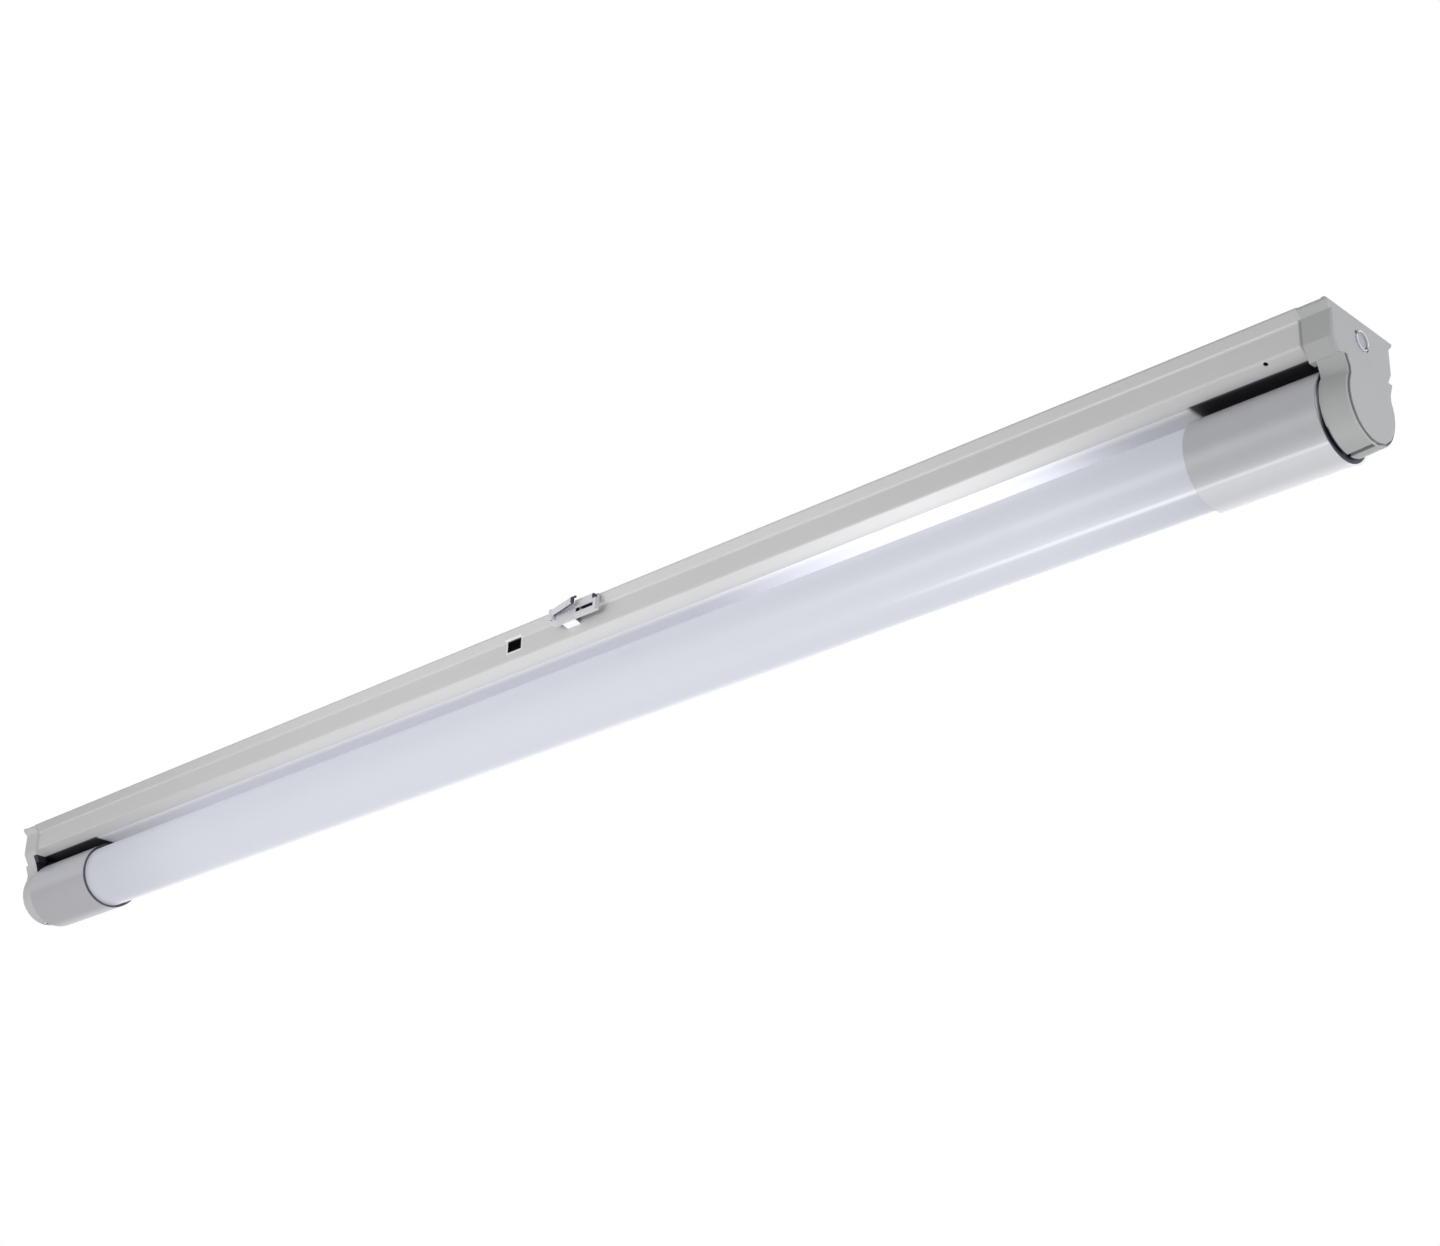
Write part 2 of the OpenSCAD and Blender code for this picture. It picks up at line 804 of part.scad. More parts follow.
module tube_seal_left() {
    left() tube_seal();
}

pin_root = 3;

module lamp_base() {
    color([0.84, 0.84, 0.84])
    difference() {
        union() {
            rod(base_x, x_lamp, sleeve_bore_r - ring_fit, 0, lamp_z);
            rod(base_x - spigot_l, base_x, tube_bore_r - seam, 0, lamp_z);
        }
        rod(base_x - spigot_l - over, base_x, tube_bore_r - 2 * tube_wall, 0, lamp_z);
        for (side = [-1, 1])
            rod(base_x - over, x_lamp + over, pin_r, side * pin_pitch / 2, lamp_z);
    }
}

module lamp_base_right() {
    lamp_base();
}

module lamp_base_left() {
    left() lamp_base();
}

module lamp_pins() {
    color(brass)
    for (side = [-1, 1])
        translate([base_x - pin_root, side * pin_pitch / 2, lamp_z]) rotate([0, 90, 0])
            rotate_extrude()
                polygon([
                    [0, 0], [pin_r, 0], [pin_r, base_t + pin_root + pin_l - pin_r / 2],
                    [pin_r / 2, base_t + pin_root + pin_l], [0, base_t + pin_root + pin_l]
                ]);
}

module lamp_pins_right() {
    lamp_pins();
}

module lamp_pins_left() {
    left() lamp_pins();
}

// Heat sink: an aluminium shell in the upper half of the tube, with a web that carries the board
rail_t = 1.4;
rail_fit = 0.3;
rail_r = tube_bore_r - rail_fit;
web_z = 2.2;
board_w = 18;
board_t = 1.2;
rail_end = base_x - spigot_l - seam;
chip_l = 3.5;
chip_w = 2.8;
chip_t = 0.8;
fin_count = 3;
fin_pitch = 9;
fin_h = 3;

module heat_sink_rail() {
    color([0.72, 0.73, 0.75])
    translate([0, 0, lamp_z])
    bar(-rail_end, rail_end)
        intersection() {
            union() {
                difference() {
                    circle(r = rail_r);
                    circle(r = rail_r - rail_t);
                }
                translate([-rail_r, web_z]) square([2 * rail_r, rail_t]);
                for (i = [0 : fin_count - 1])
                    translate([(i - (fin_count - 1) / 2) * fin_pitch - rail_t / 2, rail_r - rail_t - fin_h])
                        square([rail_t, fin_h + rail_t / 2]);
            }
            intersection() {
                circle(r = rail_r);
                translate([-rail_r, web_z]) square([2 * rail_r, rail_r]);
            }
        }
}

module led_board() {
    color(board_green)
    bar(-rail_end, rail_end)
        translate([-board_w / 2, lamp_z + web_z - board_t]) square([board_w, board_t]);
}

chip_pitch = 2 * x_sleeve / chip_count;

module led_chips() {
    color([0.98, 0.90, 0.55])
    for (i = [0 : chip_count - 1])
        translate([
            -x_sleeve + (i + 0.5) * chip_pitch - chip_l / 2, -chip_w / 2,
            lamp_z + web_z - board_t - chip_t
        ])
            cube([chip_l, chip_w, chip_t]);
}

// Driver in the left sleeve, on top of the web
driver_l = 62;
driver_w = 26;
driver_t = 1.6;
driver_inset = 2;
driver_x = -rail_end + driver_inset;
driver_z = lamp_z + web_z + rail_t;
coil_l = 16;
coil_w = 14;
coil_h = 10;
cap_r = 4;
cap_l = 14;

module driver_board() {
    color(board_green)
    translate([driver_x, -driver_w / 2, driver_z]) cube([driver_l, driver_w, driver_t]);
}

module driver_parts() {
    color([0.20, 0.20, 0.22])
    translate([driver_x, 0, driver_z + driver_t]) {
        translate([driver_l / 2 - coil_l / 2, -coil_w / 2, 0]) cube([coil_l, coil_w, coil_h]);
        rod(driver_l - cap_l - cap_r, driver_l - cap_r, cap_r, 0, cap_r);
        translate([cap_r + screw_r, 0, 0]) cylinder(r = cap_r, h = coil_h);
    }
}

// Short leads from the inner ends of the pins to the board
lead_r = 0.8;
lead_l = 20;

module pin_leads() {
    color(copper_lead)
    for (end = [-1, 1], side = [-1, 1])
        translate([end < 0 ? -base_x + pin_root : base_x - pin_root - lead_l, 0, 0])
            rod(0, lead_l, lead_r, side * pin_pitch / 2, lamp_z);
}

mounting_tray();
spine();
cable_grommet();
window_plate();
terminal_block();
terminal_screws();
earth_tag();
earth_screw();
wires_left();
wires_right();
holder_screws();
end_cap_left();
end_cap_right();
cable_plug_left();
cable_plug_right();
lampholder_left();
lampholder_right();
holder_cover_left();
holder_cover_right();
rotor_left();
rotor_right();
contacts_left();
contacts_right();
latch_plate();
latch_pin();
latch_lever();
lever_buffer();
diffuser_tube();
sleeve_left();
sleeve_right();
tube_seal_left();
tube_seal_right();
lamp_base_left();
lamp_base_right();
lamp_pins_left();
lamp_pins_right();
heat_sink_rail();
led_board();
led_chips();
driver_board();
driver_parts();
pin_leads();
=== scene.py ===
"""Ceiling batten light with one glowing tube, dressed and lit as in its photograph."""

import math

import bmesh
import bpy
from mathutils import Matrix, Vector


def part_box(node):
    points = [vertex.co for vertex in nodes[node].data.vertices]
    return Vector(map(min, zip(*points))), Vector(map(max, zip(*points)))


MM = 0.001
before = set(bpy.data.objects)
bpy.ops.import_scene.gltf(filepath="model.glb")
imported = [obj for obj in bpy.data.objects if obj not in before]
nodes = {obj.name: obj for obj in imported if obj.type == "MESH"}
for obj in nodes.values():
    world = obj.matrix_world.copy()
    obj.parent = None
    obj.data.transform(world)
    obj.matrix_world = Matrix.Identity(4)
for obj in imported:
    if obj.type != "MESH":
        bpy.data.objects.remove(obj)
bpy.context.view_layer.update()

# Camera: it stands below the right-hand end and looks up along the light
FRAME_WIDTH_PX = 1440
FOCAL_PX = 2482
SENSOR_MM = 36
SIGHT_LIMIT = 60
EYE = Vector((1129.37, -974.04, -662.11)) * MM
RIGHT = Vector((0.7149, 0.6987, 0.0270)).normalized()
DOWN = Vector((-0.2727, 0.3142, -0.9093))
AHEAD = RIGHT.cross(DOWN).normalized()
UP = RIGHT.cross(AHEAD)

camera_data = bpy.data.cameras.new("camera")
camera_data.sensor_width = SENSOR_MM
camera_data.lens = FOCAL_PX * SENSOR_MM / FRAME_WIDTH_PX
camera_data.clip_end = SIGHT_LIMIT
camera = bpy.data.objects.new("camera", camera_data)
turn = Matrix((RIGHT, UP, -AHEAD)).transposed().to_4x4()
camera.matrix_world = Matrix.Translation(EYE) @ turn
bpy.context.scene.collection.objects.link(camera)
bpy.context.scene.camera = camera
bpy.context.scene.view_settings.view_transform = "Standard"

# Places on the light, in metres from its middle and from the ceiling, and the width of a crisp edge
FLOOR_DEPTH = -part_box("spine")[0].z
SLEEVE_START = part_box("sleeve_right")[0].x
HOLDER_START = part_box("lampholder_right")[0].x
FLOOR_HALF_WIDTH = 17 * MM
EDGE = 0.4 * MM


class Value:
    """A shader socket that takes part in Python expressions and adds Math nodes."""

    def __init__(self, shader, socket):
        self.shader = shader
        self.socket = socket

    def math(self, operation, *others):
        return self.shader.node("ShaderNodeMath", {"operation": operation}, [self, *others])

    def __add__(self, other):
        return self.math("ADD", other)

    def __sub__(self, other):
        return self.math("SUBTRACT", other)

    def __rsub__(self, other):
        return self.shader.node("ShaderNodeMath", {"operation": "SUBTRACT"}, [other, self])

    def __mul__(self, other):
        return self.math("MULTIPLY", other)

    def __truediv__(self, other):
        return self.math("DIVIDE", other)

    __radd__ = __add__
    __rmul__ = __mul__

    def away(self):
        """Distance from zero, without its sign."""
        return self.math("ABSOLUTE")

    def larger(self, other):
        """The larger of the two at each place."""
        return self.math("MAXIMUM", other)

    def share(self, start, end):
        """0 at start and 1 at end, in a straight line."""
        return (self - start) / (end - start)

    def step(self, start, end):
        """0 before start, 1 after end, and a smooth rise between them."""
        return self.shader.node(
            "ShaderNodeMapRange", {"interpolation_type": "SMOOTHSTEP"},
            {"Value": self, "From Min": start, "From Max": end})

    def beyond(self, start):
        """1 from start on, after a crisp rise just before it."""
        return self.step(start - EDGE, start)

    def between(self, start, end):
        """1 from start to end and 0 outside, with crisp edges."""
        return self.beyond(start) * (1 - self.beyond(end + EDGE))

    def bell(self, middle, half_width):
        """1 at middle, and a smooth fall to 0 at half_width on both sides of it."""
        return 1 - (self - middle).away().step(0, half_width)


class Graph:
    """A node tree whose nodes are each made, set and linked in one call."""

    def __init__(self, tree):
        self.tree = tree

    def node(self, kind, settings, values, output=0):
        """Adds a node: its settings first, then its sockets, by name or in order."""
        made = self.tree.nodes.new(kind)
        for key, value in settings.items():
            setattr(made, key, value)
        named = values.items() if isinstance(values, dict) else enumerate(values)
        for key, value in named:
            self.put(made.inputs[key], value)
        return Value(self, made.outputs[output])

    def put(self, socket, value):
        """Links a Value to the socket, or writes a number or colour on it."""
        if isinstance(value, Value):
            self.tree.links.new(value.socket, socket)
        else:
            socket.default_value = value

    def white_to_camera(self, lit, white, output):
        """Shows white in place of lit to a ray from the camera, a reflection or something clear."""
        rays = ("Is Camera Ray", "Is Glossy Ray", "Is Transmission Ray")
        direct, mirrored, through = [self.node("ShaderNodeLightPath", {}, [], ray) for ray in rays]
        shown = direct.larger(mirrored).larger(through)
        blend = self.node("ShaderNodeMixShader", {}, [shown, lit, white])
        self.put(self.tree.nodes[output].inputs["Surface"], blend)


class Shader(Graph):
    """A new material with one Principled shader."""

    # Colour sockets of a Mix node, which has others of the same names for numbers and vectors
    MIX_LOW = 6
    MIX_HIGH = 7
    MIX_RESULT = 2

    def __init__(self, name, **settings):
        self.material = bpy.data.materials.new(name)
        self.material.use_nodes = True
        super().__init__(self.material.node_tree)
        self.surface = self.tree.nodes["Principled BSDF"]
        for socket, value in settings.items():
            self.set(socket.replace("_", " "), value)

    def set(self, socket, value):
        self.put(self.surface.inputs[socket], value)

    def point(self):
        """The place on the piece, in metres."""
        return self.node("ShaderNodeTexCoord", {}, [], "Object")

    def axis(self, name):
        """The place on the piece along X, Y or Z, in metres."""
        return self.node("ShaderNodeSeparateXYZ", {}, [self.point()], name)

    def noise(self, scale, detail, point=None):
        if point is None:
            point = self.point()
        values = {"Vector": point, "Scale": scale, "Detail": detail}
        return self.node("ShaderNodeTexNoise", {}, values, "Fac")

    def mix(self, share, low, high):
        """The colour low where share is 0, and high where it is 1."""
        values = {"Factor": share, self.MIX_LOW: low, self.MIX_HIGH: high}
        return self.node("ShaderNodeMix", {"data_type": "RGBA"}, values, self.MIX_RESULT)

    def roughen(self, roughness, pattern, spread):
        """Roughness that wanders by spread with the pattern."""
        self.set("Roughness", pattern * spread + (roughness - spread / 2))

    def bump(self, pattern, strength, distance):
        """Fine relief in the surface, distance metres high."""
        values = {"Strength": strength, "Distance": distance, "Height": pattern}
        self.set("Normal", self.node("ShaderNodeBump", {}, values, "Normal"))


def linear(share):
    """A display level from 0 to 1 as linear light, by the sRGB curve."""
    return share / 12.92 if share <= 0.04045 else ((share + 0.055) / 1.055) ** 2.4


def rgb(red, green, blue):
    """A display colour from 0 to 255 as linear light."""
    return tuple(linear(level / 255) for level in (red, green, blue)) + (1,)


def grey(level):
    """A display grey from 0 to 255 as linear light."""
    return rgb(level, level, level)


BLACK = (0, 0, 0, 1)
WHITE = (1, 1, 1, 1)
# Painted shade: near black, put on faces that lie deep in shade between parts
PAINTED_SHADE = rgb(20, 20, 32)

# Half of the stretch in which the left half of the light turns into the right half
MIDDLE = 0.1


def right_half(x):
    """1 on the right half of the light and 0 on the left half."""
    return x.step(-MIDDLE, MIDDLE)


# Moulded plastic: flow clouds a few centimetres wide, and grain of under a millimetre
FLOW_SCALE = 22
FLOW_RANGE = (0.35, 0.75)
FLOW_STRENGTH = 0.6
GRAIN_SCALE = 2600
GRAIN_HEIGHT = 0.04 * MM


def moulded(name, base, shade, roughness, worked=None, **settings):
    """Moulded plastic with fine grain and faint flow clouds; worked(shader, colour) may tone it further."""
    shader = Shader(name, **settings)
    clouds = shader.noise(FLOW_SCALE, detail=3)
    grain = shader.noise(GRAIN_SCALE, detail=2)
    colour = shader.mix(clouds.step(*FLOW_RANGE) * FLOW_STRENGTH, base, shade)
    if worked:
        colour = worked(shader, colour)
    shader.set("Base Color", colour)
    shader.roughen(roughness, grain, spread=0.14)
    shader.bump(grain, strength=0.25, distance=GRAIN_HEIGHT)
    return shader


# Painted light: the left cap is painted paler than the right one, for the light that falls on it
CAP_LEFT_LIT = rgb(200, 200, 201)


def cap_shading(shader, colour):
    """The left end is painted paler, for the light that falls on it, and both have painted shade under the
    shoulder that faces the lamp.
    """
    x, y, z = map(shader.axis, "XYZ")
    right = right_half(x)
    colour = shader.mix(right, CAP_LEFT_LIT, colour)
    below = (z * -1).beyond(FLOOR_DEPTH - EDGE)
    inside = 1 - x.away().beyond(HOLDER_START + 2 * EDGE)
    flat = 1 - y.away().step(FLOOR_HALF_WIDTH + 2 * EDGE, FLOOR_HALF_WIDTH + 4 * EDGE)
    return shader.mix(below * inside * flat.larger(1 - right), colour, PAINTED_SHADE)


# Sleeves: each tone and the stretch in which it comes in, as shares of the height or in metres; all but the
# ring are painted light and shade
LEFT_LIGHTER = (0.36, 0.5)
LEFT_LOWER_WALL_SHADED = rgb(178, 178, 183)
LEFT_UPPER_WALL_LIT = rgb(194, 195, 203)
RIGHT_LIGHTER = (0.45, 0.65)
RIGHT_UPPER_WALL_LIT = rgb(189, 190, 196)
BELLY = (0.05, 0.14)
BELLY_LIT = rgb(208, 210, 214)
SLEEVE_GLEAM = (0.1, 0.02)  # middle and half width
SLEEVE_GLEAM_STRENGTH = 0.5
SLEEVE_HIGHLIGHT = rgb(236, 237, 240)
UNDERSIDE_ACROSS = (-5 * MM, 8 * MM)
UNDERSIDE_UP = (0.3, 0.5)
LEFT_UNDERSIDE_SHEEN = rgb(216, 217, 225)
RIGHT_UNDERSIDE_SHEEN = rgb(244, 245, 249)
SLEEVE_FACE = (SLEEVE_START + EDGE / 20, SLEEVE_START + EDGE / 8)
RING = rgb(66, 67, 82)


def sleeve_tones(shader, colour):
    """Painted light and shade: the wall is paler at its top and underside, with a painted highlight and a
    paler belly low down on the right, for how light falls on it; the ring that faces the tube is dark.
    """
    x, y, z = map(shader.axis, "XYZ")
    low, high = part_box("sleeve_right")
    height = z.share(low.z, high.z)
    right = right_half(x)
    left_wall = shader.mix(height.step(*LEFT_LIGHTER), LEFT_LOWER_WALL_SHADED, LEFT_UPPER_WALL_LIT)
    colour = shader.mix(right, left_wall, colour)
    colour = shader.mix(height.step(*RIGHT_LIGHTER) * right, colour, RIGHT_UPPER_WALL_LIT)
    colour = shader.mix((1 - height.step(*BELLY)) * right, colour, BELLY_LIT)
    gleam = height.bell(*SLEEVE_GLEAM) * right * SLEEVE_GLEAM_STRENGTH
    colour = shader.mix(gleam, colour, SLEEVE_HIGHLIGHT)
    underside = y.step(*UNDERSIDE_ACROSS) * (1 - height.step(*UNDERSIDE_UP))
    colour = shader.mix(underside, colour, shader.mix(right, LEFT_UNDERSIDE_SHEEN, RIGHT_UNDERSIDE_SHEEN))
    face = 1 - x.away().step(*SLEEVE_FACE)
    left_lip = 1 - (x * -1).beyond(SLEEVE_START + 4 * EDGE) - right
    return shader.mix(face.larger(left_lip), colour, RING)


# Painted shade on the plug's sunk face; the rim keeps the paler colour as its highlight
PLUG_FACE_SHADED = rgb(172, 173, 176)


def plug_shading(shader, colour):
    """The raised rim of the blanking plug is paler than its sunk face: painted shade in the recess, and a
    painted highlight on the rim.
    """
    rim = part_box("cable_plug_right")[1].x
    return shader.mix(shader.axis("X").away().beyond(rim - 2 * EDGE), PLUG_FACE_SHADED, colour)


# Latch: the keeper's length, outer face and corner notch, and the top of the bent tab
KEEPER_LENGTH = 19.6 * MM
KEEPER_FACE = -34.3 * MM
NOTCH = 3.2 * MM
TAB_TOP = -11.4 * MM
# Painted highlight: the bent tab is painted near white, for the lamp's light it catches
TAB_HIGHLIGHT = rgb(252, 252, 255)


def latch_shading(shader, colour):
    """The bent tab is painted palest as a highlight, and painted shade darkens the keeper inside its box
    and in its corner notch.
    """
    x, y, z = map(shader.axis, "XYZ")
    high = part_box("latch_plate")[1]
    colour = shader.mix(1 - z.beyond(TAB_TOP), colour, TAB_HIGHLIGHT)
    along = x.between(high.x - KEEPER_LENGTH + 2 * EDGE, high.x - 2 * EDGE)
    upright = z.between(TAB_TOP + 2 * EDGE, high.z - 2 * EDGE)
    within = along * upright * y.beyond(KEEPER_FACE + 2 * EDGE)
    corner = x.beyond(high.x - NOTCH) * z.beyond(high.z - NOTCH)
    notch = corner * (1 - y.beyond(KEEPER_FACE + 3 * EDGE))
    return shader.mix(within.larger(notch), colour, PAINTED_SHADE)


# Lamp bases: heights are shares of their own
BASE_BAND = (0.5, 0.3)  # middle and half width
# Painted light: a pale band on the bases, for the light seen in the gap beside them
BASE_BAND_LIT = rgb(236, 237, 240)


def base_shading(shader, colour):
    """The lamp's bases are dark, with a paler band painted at the middle of their height for the light that
    reaches them there.
    """
    low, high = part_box("lamp_base_right")
    height = shader.axis("Z").share(low.z, high.z)
    return shader.mix(height.bell(*BASE_BAND), colour, BASE_BAND_LIT)


# Spine: depths run down from the ceiling, and the other stretches run along it from its middle
FLANGE_DEPTH = 5.2 * MM
BEND_DEPTH = 19.6 * MM
TO_ENDS = (0.2, 0.56)
# Painted light and shade: the flange, fold and chamfer tones stand for the light that falls on them
FLANGE_MIDDLE_LIT = grey(197)
FLANGE_ENDS_SHADED = grey(185)
FOLD_HIGHLIGHT = grey(222)
FOLD_STRENGTH = 0.5
CHAMFER_MIDDLE_LIT = grey(209)
CHAMFER_ENDS_SHADED = grey(188)
CHAMFER_GLEAM = (0.33, 0.17)  # middle and half width
CHAMFER_GLEAM_STRENGTH = 0.9
CHAMFER_GLEAM_TONE = grey(236)


def fold_shading(shader, enamel, x, drop):
    """Painted light and shade: flange, fold and chamfer get lit tones, with a painted highlight on the fold
    and a gleam on the chamfer, and flange and chamfer are painted darker towards the ends, where less light
    falls.
    """
    to_ends = x.away().step(*TO_ENDS)
    flange = shader.mix(to_ends, FLANGE_MIDDLE_LIT, FLANGE_ENDS_SHADED)
    enamel = shader.mix(1 - drop.beyond(FLANGE_DEPTH), enamel, flange)
    fold = drop.bell(FLANGE_DEPTH + 2 * EDGE, 2 * EDGE)
    enamel = shader.mix(fold * FOLD_STRENGTH, enamel, FOLD_HIGHLIGHT)
    chamfer = shader.mix(to_ends, CHAMFER_MIDDLE_LIT, CHAMFER_ENDS_SHADED)
    chamfer = shader.mix(x.bell(*CHAMFER_GLEAM) * CHAMFER_GLEAM_STRENGTH, chamfer, CHAMFER_GLEAM_TONE)
    return shader.mix(drop.step(BEND_DEPTH - EDGE, BEND_DEPTH + EDGE), enamel, chamfer)


# Window and seam of the spine: a pale ring round the window, painted shade in its gap, and a painted shadow
# at the seam
WINDOW_RIM = 1.2 * MM
WINDOW_RIM_TONE = grey(228)
WINDOW_RIM_STRENGTH = 0.9
WINDOW_GAP_SHADE = grey(40)
# Painted shadow at the seam beside the right-hand cap
SEAM_SHADOW_TONE = grey(120)
SEAM_STRENGTH = 0.8


def window_tones(shader, enamel, x, z, near):
    """The small window has a pale ring painted round it on the near wall, and painted shade in the gap
    inside it.
    """
    low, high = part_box("window_plate")
    rim = x.between(low.x, high.x) * z.between(low.z, high.z)
    gap_along = x.between(low.x + WINDOW_RIM, high.x - WINDOW_RIM)
    gap_upright = z.between(low.z + WINDOW_RIM, high.z - WINDOW_RIM)
    enamel = shader.mix(rim * near * WINDOW_RIM_STRENGTH, enamel, WINDOW_RIM_TONE)
    return shader.mix(gap_along * gap_upright * near, enamel, WINDOW_GAP_SHADE)


def seam_shadow(shader, enamel, x, drop):
    """A dark line of painted shadow runs down the wall at the seam beside the right-hand cap, where the
    cap's rim shades it.
    """
    cap_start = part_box("end_cap_right")[0].x
    seam = x.step(cap_start - 8 * EDGE, cap_start - 4 * EDGE) * drop.beyond(FLANGE_DEPTH)
    return shader.mix(seam * SEAM_STRENGTH, enamel, SEAM_SHADOW_TONE)


def behind_keeper(x, drop, near):
    """1 on the flange behind the keeper of the latch, which is painted with shade."""
    keeper_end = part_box("latch_plate")[1].x
    along = x.between(keeper_end - KEEPER_LENGTH + EDGE, keeper_end - KEEPER_LENGTH / 4)
    return along * near * (1 - drop.beyond(FLANGE_DEPTH + EDGE))


# Lamp light on the spine's floor, painted as a glow of its paint: where it rises and falls, and how bright
# it is there
BRIGHT_RISE = (0.13, 0.31)
BRIGHT_FALL = (0.39, 0.49)
CAUGHT_FADE = (0.36, 0.53)
FLOOR_GLOW = rgb(75, 77, 86)
BRIGHT_GLOW = rgb(186, 189, 195)


def caught_light(shader, x, open_floor):
    """The lamp's light on the open floor, painted as a glow of the paint and brightest right of the middle.
    """
    bright = x.step(*BRIGHT_RISE) * (1 - x.step(*BRIGHT_FALL))
    glow = shader.mix(bright, FLOOR_GLOW, BRIGHT_GLOW)
    caught = open_floor * (1 - x.away().step(*CAUGHT_FADE))
    return shader.mix(caught, BLACK, glow)


# Enamel: orange peel of a few millimetres, clouds of a hand's width, and the paler tone painted on the
# spine's floor for the lamp's light on it
PEEL_SCALE = 420
PEEL_HEIGHT = 0.06 * MM
ENAMEL_CLOUD_SCALE = 9
ENAMEL_CLOUD_RANGE = (0.3, 0.8)
ENAMEL_CLOUD_STRENGTH = 0.5
FLOOR_LIT_TONE = grey(232)


def painted(name, base, shade, roughness):
    """Stove-enamelled sheet with painted shade on the floor over each sleeve and behind the latch's keeper,
    and the lamp's light painted on the floor between them, paler and glowing.
    """
    shader = Shader(name, Coat_Weight=0.15)
    x, y, z = map(shader.axis, "XYZ")
    drop = z * -1
    near = 1 - y.beyond(0)
    clouds = shader.noise(ENAMEL_CLOUD_SCALE, detail=3)
    enamel = shader.mix(clouds.step(*ENAMEL_CLOUD_RANGE) * ENAMEL_CLOUD_STRENGTH, base, shade)
    enamel = fold_shading(shader, enamel, x, drop)
    enamel = window_tones(shader, enamel, x, z, near)
    enamel = seam_shadow(shader, enamel, x, drop)
    # Painted light: the floor is paler, for the lamp's light on it
    floor = drop.step(FLOOR_DEPTH - EDGE / 2, FLOOR_DEPTH - EDGE / 8)
    enamel = shader.mix(floor, enamel, FLOOR_LIT_TONE)
    # Painted shade on the floor over each sleeve and on the flange behind the keeper
    over_sleeve = x.away().step(SLEEVE_START - 5 * EDGE, SLEEVE_START + 5 * EDGE)
    shaded_over_sleeve = over_sleeve * drop.beyond(FLOOR_DEPTH - EDGE)
    shader.set("Base Color", shader.mix(shaded_over_sleeve.larger(behind_keeper(x, drop, near)), enamel, PAINTED_SHADE))
    shader.set("Emission Color", caught_light(shader, x, floor * (1 - over_sleeve)))
    shader.set("Emission Strength", 1)
    peel = shader.noise(PEEL_SCALE, detail=2)
    shader.roughen(roughness, peel, spread=0.12)
    shader.bump(peel, strength=0.12, distance=PEEL_HEIGHT)
    return shader


# Rolled metal: streaks are drawn out along X
STREAK_STRETCH = (0.02, 1, 1)
STREAK_SCALE = 1500
STREAK_HEIGHT = 0.03 * MM
STREAK_STRENGTH = 0.3
STREAK_DARKER = 0.75


def metal(name, base, roughness):
    """Rolled metal with fine streaks along X."""
    shader = Shader(name, Metallic=1.0)
    stretched = shader.node("ShaderNodeMapping", {}, {"Vector": shader.point(), "Scale": STREAK_STRETCH})
    streaks = shader.noise(STREAK_SCALE, detail=3, point=stretched)
    darker = tuple(level * STREAK_DARKER for level in base[:3]) + (1,)
    shader.set("Base Color", shader.mix(streaks * STREAK_STRENGTH, base, darker))
    shader.roughen(roughness, streaks, spread=0.2)
    shader.bump(streaks, strength=0.1, distance=STREAK_HEIGHT)
    return shader


# Opal tube: stretches along X and Y are in metres, and those in height are shares of its diameter
HAZE_SCALE = 40
HAZE_STRENGTH = 0.4
OPAL_BASE = rgb(150, 151, 157)
OPAL_SHADE = rgb(143, 144, 152)
GLOW_RISE = (-0.5, -0.36)
GLOW_FALL = (0.4, 0.52)
GLOW_ENDS = rgb(143, 145, 152)
GLOW_MIDDLE = rgb(162, 164, 172)
LEFT_END_FADE = (-0.6, -0.5)
GLOW_LEFT_END = rgb(130, 132, 140)
# Painted highlight and painted sheen, added to the tube's glow: a thin line low down on the right, and the
# paler lower edge
TUBE_GLEAM = (0.09, 0.025)  # middle and half width
TUBE_GLEAM_ALONG = (0.28, 0.4)
TUBE_GLEAM_STRENGTH = 0.8
TUBE_GLEAM_TONE = rgb(200, 202, 208)
LOWER_EDGE_ACROSS = (0, 9 * MM)
LOWER_EDGE_UP = (0.2, 0.4)
LOWER_EDGE_STRENGTH = 0.6
LOWER_EDGE_SHEEN = rgb(196, 198, 206)
OPAL_ROUGHNESS = 0.32
DULL_TOP = (0.7, 0.92)
DULL_TOP_ROUGHER = 0.4
OPAL_GRAIN_SCALE = 900
OPAL_GRAIN_HEIGHT = 0.04 * MM


def glowing(name):
    """Opal tube: glowing bluish white that dims beside the sleeves, with a painted highlight low down on
    the right and a paler lower edge painted as a sheen.
    """
    shader = Shader(name, Specular_IOR_Level=0.35)
    x, y, z = map(shader.axis, "XYZ")
    low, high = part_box("diffuser_tube")
    height = z.share(low.z, high.z)
    haze = shader.noise(HAZE_SCALE, detail=3)
    shader.set("Base Color", shader.mix(haze * HAZE_STRENGTH, OPAL_BASE, OPAL_SHADE))
    lit = shader.mix(x.step(*GLOW_RISE) - x.step(*GLOW_FALL), GLOW_ENDS, GLOW_MIDDLE)
    lit = shader.mix(x.step(*LEFT_END_FADE), GLOW_LEFT_END, lit)
    gleam = height.bell(*TUBE_GLEAM) * x.step(*TUBE_GLEAM_ALONG)
    lit = shader.mix(gleam * TUBE_GLEAM_STRENGTH, lit, TUBE_GLEAM_TONE)
    lower_edge = y.step(*LOWER_EDGE_ACROSS) * (1 - height.step(*LOWER_EDGE_UP))
    lit = shader.mix(lower_edge * LOWER_EDGE_STRENGTH, lit, LOWER_EDGE_SHEEN)
    shader.set("Emission Color", lit)
    shader.set("Emission Strength", 1)
    shader.roughen(height.step(*DULL_TOP) * DULL_TOP_ROUGHER + OPAL_ROUGHNESS, haze, spread=0.1)
    shader.bump(shader.noise(OPAL_GRAIN_SCALE, detail=2), strength=0.08, distance=OPAL_GRAIN_HEIGHT)
    return shader
